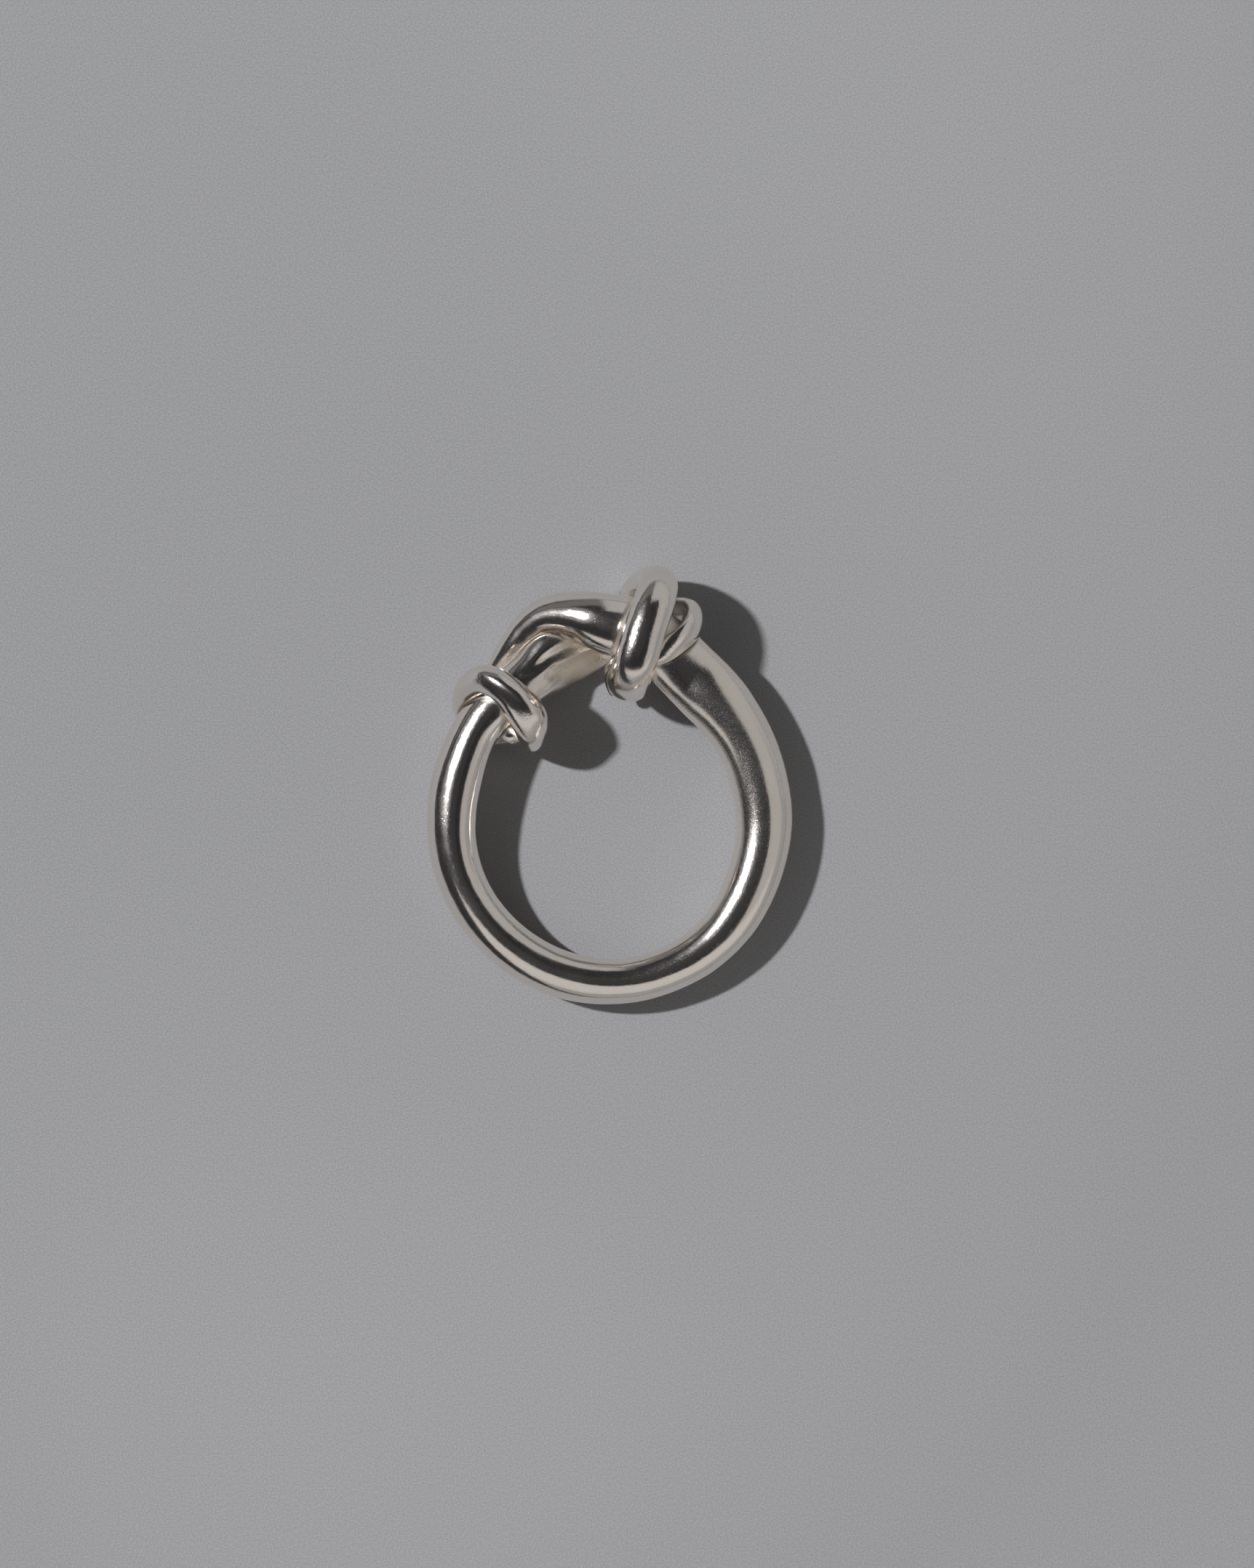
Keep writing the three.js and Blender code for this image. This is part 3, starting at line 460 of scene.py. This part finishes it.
# ------------------------------------------------------------------ polished silver
def polished_silver():
    mat = bpy.data.materials.new("polished_silver")
    mat.use_nodes = True
    nt = mat.node_tree
    nt.nodes.clear()

    def node(kind, **settings):
        n = nt.nodes.new(kind)
        for key, value in settings.items():
            if key.startswith("in_"):
                n.inputs[key[3:].replace("_", " ")].default_value = value
            else:
                setattr(n, key, value)
        return n

    def link(a, out, b, into):
        nt.links.new(a.outputs[out], b.inputs[into])

    output = node("ShaderNodeOutputMaterial")
    bsdf = node("ShaderNodeBsdfPrincipled")
    bsdf.inputs["Metallic"].default_value = 1.0
    bsdf.inputs["Anisotropic"].default_value = 0.3
    link(bsdf, "BSDF", output, "Surface")

    place = node("ShaderNodeTexCoord")
    rod_uv = node("ShaderNodeUVMap", uv_map="rod")
    tangent = node("ShaderNodeTangent", direction_type="UV_MAP", uv_map="rod")
    link(tangent, "Tangent", bsdf, "Tangent")

    # cloudy tarnish and polish: warm and cool silver
    cloud = node("ShaderNodeTexNoise", noise_dimensions="3D")
    cloud.inputs["Scale"].default_value = 420.0
    cloud.inputs["Detail"].default_value = 4.0
    cloud.inputs["Roughness"].default_value = 0.55
    link(place, "Object", cloud, "Vector")
    tone = node("ShaderNodeValToRGB")
    tone.color_ramp.elements[0].position = 0.32
    tone.color_ramp.elements[0].color = (0.915, 0.858, 0.796, 1)
    tone.color_ramp.elements[1].position = 0.70
    tone.color_ramp.elements[1].color = (0.945, 0.898, 0.846, 1)
    link(cloud, "Fac", tone, "Fac")

    # painted shade: the base colour darkens to a dark brown where rods nearly touch, as shade in the
    # creases would; the same mask also makes the metal there duller
    nook = node("ShaderNodeAttribute", attribute_name="nook")
    nook_shade_and_dull = node("ShaderNodeMapRange", interpolation_type="SMOOTHSTEP")
    nook_shade_and_dull.inputs["From Min"].default_value = 0.45
    nook_shade_and_dull.inputs["From Max"].default_value = 1.0
    link(nook, "Fac", nook_shade_and_dull, "Value")
    tone_with_nook_shade = node("ShaderNodeMix", data_type="RGBA", blend_type="MIX")
    tone_with_nook_shade.inputs[7].default_value = (0.30, 0.255, 0.205, 1)
    link(nook_shade_and_dull, "Result", tone_with_nook_shade, 0)
    nt.links.new(tone.outputs["Color"], tone_with_nook_shade.inputs[6])
    # painted shade: the inner strand's base colour turns a darker gold where it dives under the outer
    # strand
    recess_shade = node("ShaderNodeMix", data_type="RGBA", blend_type="MIX")
    recess_shade.inputs[7].default_value = (0.72, 0.635, 0.525, 1)
    nt.links.new(tone_with_nook_shade.outputs[2], recess_shade.inputs[6])
    nt.links.new(recess_shade.outputs[2], bsdf.inputs["Base Color"])

    hollow = node("ShaderNodeAttribute", attribute_name="hollow")
    satin = node("ShaderNodeMapRange", interpolation_type="SMOOTHSTEP")
    satin.inputs["From Min"].default_value = 0.34
    satin.inputs["From Max"].default_value = 0.72
    link(hollow, "Fac", satin, "Value")
    unbuffed_and_shaded = node("ShaderNodeAttribute", attribute_name="unbuffed_and_shaded")
    dull = node("ShaderNodeMath", operation="MAXIMUM")
    nt.links.new(satin.outputs[0], dull.inputs[0])
    nt.links.new(unbuffed_and_shaded.outputs["Fac"], dull.inputs[1])
    nt.links.new(unbuffed_and_shaded.outputs["Fac"], recess_shade.inputs[0])

    # brushed streaks left where the wheel didn't reach
    lay = node("ShaderNodeMapping")
    lay.inputs["Rotation"].default_value = (0, 0, math.radians(9))
    lay.inputs["Scale"].default_value = (1.3, 13.0, 1.0)
    link(rod_uv, "UV", lay, "Vector")
    brushed = node("ShaderNodeTexNoise", noise_dimensions="2D")
    brushed.inputs["Scale"].default_value = 1.0
    brushed.inputs["Detail"].default_value = 3.0
    brushed.inputs["Roughness"].default_value = 0.65
    link(lay, "Vector", brushed, "Vector")
    streaks = node("ShaderNodeMath", operation="MULTIPLY")
    nt.links.new(brushed.outputs["Fac"], streaks.inputs[0])
    nt.links.new(dull.outputs[0], streaks.inputs[1])

    # hairline scratches, laid along the rod at three slants
    def scratches(angle, stretch, scale, low, high):
        turn = node("ShaderNodeMapping")
        turn.inputs["Rotation"].default_value = (0, 0, math.radians(angle))
        link(rod_uv, "UV", turn, "Vector")
        squeeze = node("ShaderNodeMapping")
        squeeze.inputs["Scale"].default_value = (1 / stretch, 1.0, 1.0)
        link(turn, "Vector", squeeze, "Vector")
        n = node("ShaderNodeTexNoise", noise_dimensions="2D")
        n.inputs["Scale"].default_value = scale
        n.inputs["Detail"].default_value = 1.0
        link(squeeze, "Vector", n, "Vector")
        r = node("ShaderNodeMapRange")
        r.inputs["From Min"].default_value = low
        r.inputs["From Max"].default_value = high
        link(n, "Fac", r, "Value")
        return r

    marks = [scratches(3, 14, 34.0, 0.70, 0.80), scratches(-31, 11, 38.0, 0.71, 0.81),
             scratches(47, 10, 36.0, 0.72, 0.82)]
    total = marks[0]
    for m in marks[1:]:
        add = node("ShaderNodeMath", operation="MAXIMUM")
        nt.links.new(total.outputs[0], add.inputs[0])
        nt.links.new(m.outputs[0], add.inputs[1])
        total = add

    # pits
    cells = node("ShaderNodeTexVoronoi", feature="F1")
    cells.inputs["Scale"].default_value = 5200.0
    link(place, "Object", cells, "Vector")
    pit = node("ShaderNodeMapRange")
    pit.inputs["From Min"].default_value = 0.26
    pit.inputs["From Max"].default_value = 0.10
    link(cells, "Distance", pit, "Value")
    some = node("ShaderNodeTexNoise", noise_dimensions="3D")
    some.inputs["Scale"].default_value = 2100.0
    some.inputs["Detail"].default_value = 2.0
    link(place, "Object", some, "Vector")
    where = node("ShaderNodeMapRange")
    where.inputs["From Min"].default_value = 0.50
    where.inputs["From Max"].default_value = 0.62
    link(some, "Fac", where, "Value")
    pits = node("ShaderNodeMath", operation="MULTIPLY")
    nt.links.new(pit.outputs[0], pits.inputs[0])
    nt.links.new(where.outputs[0], pits.inputs[1])

    # fine scuffs
    scuff = node("ShaderNodeTexNoise", noise_dimensions="3D")
    scuff.inputs["Scale"].default_value = 14000.0
    scuff.inputs["Detail"].default_value = 2.0
    link(place, "Object", scuff, "Vector")
    scuff_spots = node("ShaderNodeMapRange")
    scuff_spots.inputs["From Min"].default_value = 0.42
    scuff_spots.inputs["From Max"].default_value = 0.66
    link(scuff, "Fac", scuff_spots, "Value")
    worn = node("ShaderNodeAttribute", attribute_name="worn")
    scuffs = node("ShaderNodeMath", operation="MULTIPLY")
    nt.links.new(scuff_spots.outputs[0], scuffs.inputs[0])
    nt.links.new(worn.outputs["Fac"], scuffs.inputs[1])

    # orange peel
    peel = node("ShaderNodeTexNoise", noise_dimensions="3D")
    peel.inputs["Scale"].default_value = 6500.0
    peel.inputs["Detail"].default_value = 2.0
    peel.inputs["Roughness"].default_value = 0.6
    link(place, "Object", peel, "Vector")

    cast = node("ShaderNodeAttribute", attribute_name="cast")
    peel_height = node("ShaderNodeMath", operation="MULTIPLY")
    nt.links.new(peel.outputs["Fac"], peel_height.inputs[0])
    nt.links.new(cast.outputs["Fac"], peel_height.inputs[1])

    bump_peel = node("ShaderNodeBump")
    bump_peel.inputs["Strength"].default_value = 0.38
    bump_peel.inputs["Distance"].default_value = 0.000020
    link(peel_height, "Value", bump_peel, "Height")
    bump_pits = node("ShaderNodeBump", invert=True)
    bump_pits.inputs["Strength"].default_value = 0.5
    bump_pits.inputs["Distance"].default_value = 0.000008
    link(pits, "Value", bump_pits, "Height")
    link(bump_peel, "Normal", bump_pits, "Normal")
    bump_marks = node("ShaderNodeBump", invert=True)
    bump_marks.inputs["Strength"].default_value = 0.2
    bump_marks.inputs["Distance"].default_value = 0.000003
    nt.links.new(total.outputs[0], bump_marks.inputs["Height"])
    link(bump_pits, "Normal", bump_marks, "Normal")
    bump_streaks = node("ShaderNodeBump")
    bump_streaks.inputs["Strength"].default_value = 1.0
    bump_streaks.inputs["Distance"].default_value = 0.000024
    link(streaks, "Value", bump_streaks, "Height")
    link(bump_marks, "Normal", bump_streaks, "Normal")
    link(bump_streaks, "Normal", bsdf, "Normal")

    # roughness: polished, duller in clouds, nooks and scratches
    rough = node("ShaderNodeMapRange")
    rough.inputs["From Min"].default_value = 0.3
    rough.inputs["From Max"].default_value = 0.75
    rough.inputs["To Min"].default_value = 0.10
    rough.inputs["To Max"].default_value = 0.15
    link(cloud, "Fac", rough, "Value")
    with_marks = node("ShaderNodeMath", operation="MULTIPLY_ADD")
    with_marks.inputs[1].default_value = 0.09
    nt.links.new(total.outputs[0], with_marks.inputs[0])
    haze = node("ShaderNodeMath", operation="MULTIPLY_ADD")
    haze.inputs[1].default_value = 0.055
    nt.links.new(worn.outputs["Fac"], haze.inputs[0])
    nt.links.new(rough.outputs[0], haze.inputs[2])
    with_scuffs = node("ShaderNodeMath", operation="MULTIPLY_ADD")
    with_scuffs.inputs[1].default_value = 0.11
    nt.links.new(scuffs.outputs[0], with_scuffs.inputs[0])
    nt.links.new(haze.outputs[0], with_scuffs.inputs[2])
    nt.links.new(with_scuffs.outputs[0], with_marks.inputs[2])
    with_nook = node("ShaderNodeMath", operation="MULTIPLY_ADD", use_clamp=True)
    with_nook.inputs[1].default_value = 0.25
    nt.links.new(nook_shade_and_dull.outputs[0], with_nook.inputs[0])
    nt.links.new(with_marks.outputs[0], with_nook.inputs[2])
    with_satin = node("ShaderNodeMath", operation="MULTIPLY_ADD", use_clamp=True)
    with_satin.inputs[1].default_value = 0.16
    nt.links.new(dull.outputs[0], with_satin.inputs[0])
    nt.links.new(with_nook.outputs[0], with_satin.inputs[2])
    nt.links.new(with_satin.outputs[0], bsdf.inputs["Roughness"])
    return mat


silver = polished_silver()
for node_name, obj in pieces.items():
    obj.data.materials.append(silver)
    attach(obj, "root")
    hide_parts(node_name)


# ------------------------------------------------------------------ table
def table():
    mesh = bpy.data.meshes.new("table")
    r = 0.9
    mesh.from_pydata([(-r, -r, 0), (r, -r, 0), (r, r, 0), (-r, r, 0)], [], [(0, 1, 2, 3)])
    obj = bpy.data.objects.new("table", mesh)
    bpy.context.scene.collection.objects.link(obj)
    obj.location.z = CAD_BOX[0][2] - 0.00002
    mat = bpy.data.materials.new("matt_card")
    mat.use_nodes = True
    nt = mat.node_tree
    bsdf = nt.nodes["Principled BSDF"]
    bsdf.inputs["Roughness"].default_value = 0.85
    bsdf.inputs["Specular IOR Level"].default_value = 0.15
    place = nt.nodes.new("ShaderNodeTexCoord")
    grain = nt.nodes.new("ShaderNodeTexNoise")
    grain.inputs["Scale"].default_value = 9500.0
    grain.inputs["Detail"].default_value = 5.0
    grain.inputs["Roughness"].default_value = 0.6
    nt.links.new(place.outputs["Object"], grain.inputs["Vector"])
    tone = nt.nodes.new("ShaderNodeValToRGB")
    tone.color_ramp.elements[0].position = 0.25
    tone.color_ramp.elements[0].color = (0.222, 0.224, 0.227, 1)
    tone.color_ramp.elements[1].position = 0.75
    tone.color_ramp.elements[1].color = (0.356, 0.358, 0.363, 1)
    nt.links.new(grain.outputs["Fac"], tone.inputs["Fac"])
    # painted light: the card's tone falls off gently from the upper left to the lower right and further
    # from the middle, as the lamp's light would
    slant = nt.nodes.new("ShaderNodeVectorMath")
    slant.operation = "DOT_PRODUCT"
    slant.inputs[1].default_value = (-3.1, 1.67, 0.0)
    nt.links.new(place.outputs["Object"], slant.inputs[0])
    reach = nt.nodes.new("ShaderNodeVectorMath")
    reach.operation = "DOT_PRODUCT"
    nt.links.new(place.outputs["Object"], reach.inputs[0])
    nt.links.new(place.outputs["Object"], reach.inputs[1])
    bowl = nt.nodes.new("ShaderNodeMath")
    bowl.operation = "MULTIPLY_ADD"
    bowl.inputs[1].default_value = -21.0
    nt.links.new(reach.outputs["Value"], bowl.inputs[0])
    nt.links.new(slant.outputs["Value"], bowl.inputs[2])
    limit = nt.nodes.new("ShaderNodeClamp")
    limit.inputs["Min"].default_value = -0.20
    limit.inputs["Max"].default_value = 0.14
    nt.links.new(bowl.outputs[0], limit.inputs["Value"])
    level = nt.nodes.new("ShaderNodeMath")
    level.operation = "ADD"
    level.inputs[1].default_value = 1.012
    nt.links.new(limit.outputs[0], level.inputs[0])
    tone_with_painted_falloff = nt.nodes.new("ShaderNodeVectorMath")
    tone_with_painted_falloff.operation = "SCALE"
    nt.links.new(tone.outputs["Color"], tone_with_painted_falloff.inputs[0])
    nt.links.new(level.outputs[0], tone_with_painted_falloff.inputs["Scale"])
    nt.links.new(tone_with_painted_falloff.outputs[0], bsdf.inputs["Base Color"])
    bump = nt.nodes.new("ShaderNodeBump")
    bump.inputs["Strength"].default_value = 0.3
    bump.inputs["Distance"].default_value = 0.000016
    nt.links.new(grain.outputs["Fac"], bump.inputs["Height"])
    nt.links.new(bump.outputs["Normal"], bsdf.inputs["Normal"])
    mesh.materials.append(mat)


table()

# ------------------------------------------------------------------ light
world = bpy.data.worlds.new("dark_studio")
bpy.context.scene.world = world
world.use_nodes = True
world.node_tree.nodes["Background"].inputs["Color"].default_value = (0.023, 0.023, 0.0235, 1)
world.node_tree.nodes["Background"].inputs["Strength"].default_value = 1.0


def key_light(direction, strength, spread):
    data = bpy.data.lights.new("key", "SUN")
    data.energy = strength
    data.angle = math.radians(spread)
    data.color = (0.965, 0.967, 0.99)
    obj = bpy.data.objects.new("key", data)
    bpy.context.scene.collection.objects.link(obj)
    obj.rotation_euler = Vector(direction).to_track_quat("Z", "Y").to_euler()


def card(name, x0, x1, y0, y1, z, radiance, tint):
    """A pale card over the table, facing down, unseen by the camera. All measures in mm."""
    data = bpy.data.lights.new(name, "AREA")
    data.shape = "RECTANGLE"
    data.size, data.size_y = (x1 - x0) * MM, (y1 - y0) * MM
    data.energy = radiance * math.pi * data.size * data.size_y
    data.color = tint
    obj = bpy.data.objects.new(name, data)
    bpy.context.scene.collection.objects.link(obj)
    obj.location = ((x0 + x1) / 2 * MM, (y0 + y1) / 2 * MM, z * MM)
    obj.visible_camera = False


def disc(name, x, y, z, r, radiance, tint):
    """A round, dim patch of ceiling."""
    data = bpy.data.lights.new(name, "AREA")
    data.shape = "DISK"
    data.size = 2 * r * MM
    data.energy = radiance * math.pi * math.pi * (r * MM) ** 2
    data.color = tint
    obj = bpy.data.objects.new(name, data)
    bpy.context.scene.collection.objects.link(obj)
    obj.location = (x * MM, y * MM, z * MM)
    obj.visible_camera = False


az, el = math.radians(158.3), math.radians(44)
key_light((math.cos(az) * math.cos(el), math.sin(az) * math.cos(el), math.sin(el)), 4.05, 3.0)
# the reflector round the lamp, much dimmer
for strength, spread in ((0.12, 24), (0.06, 50)):
    key_light((math.cos(az) * math.cos(el), math.sin(az) * math.cos(el), math.sin(el)), strength, spread)
WARM = (1.0, 0.965, 0.945)
GREY = (1.0, 0.985, 0.975)
FAR, H = 1400, 31
# the bright cards stand close to the ring; past them the room is a plain grey
card("card_east", 22, 85, -26, 34, H, 0.37, WARM)
card("card_south", -18, 85, -80, -26, H, 0.50, WARM)
card("card_southwest", -44, -18, -80, -25, H, 0.50, WARM)
card("card_north", 0, FAR, 34, FAR, H, 0.36, GREY)
card("card_northwest", -200, 0, 56, FAR, H, 0.11, GREY)
card("room_east", 85, FAR, -80, 34, H, 0.27, GREY)
card("room_south", -44, FAR, -FAR, -80, H, 0.28, GREY)
for r, level in ((48, 0.012), (85, 0.012)):
    disc("ceiling", -8, 0, 230, r, level, (0.90, 0.95, 1.0))

# ------------------------------------------------------------------ camera
camera_data = bpy.data.cameras.new("camera")
camera_data.sensor_width = 36.0
DISTANCE, LONG_SIDE = 0.700, 0.10028
camera_data.lens = 36.0 * DISTANCE / LONG_SIDE
camera_data.clip_start, camera_data.clip_end = 0.01, 10
camera = bpy.data.objects.new("camera", camera_data)
bpy.context.scene.collection.objects.link(camera)
camera.location = (0.00108, 0.00007, 0.0022 + DISTANCE)
camera.rotation_euler = (0, 0, 0)
bpy.context.scene.camera = camera

scene = bpy.context.scene
scene.view_settings.view_transform = "Standard"
scene.view_settings.look = "None"
scene.view_settings.exposure = 0.0
scene.view_settings.gamma = 1.0
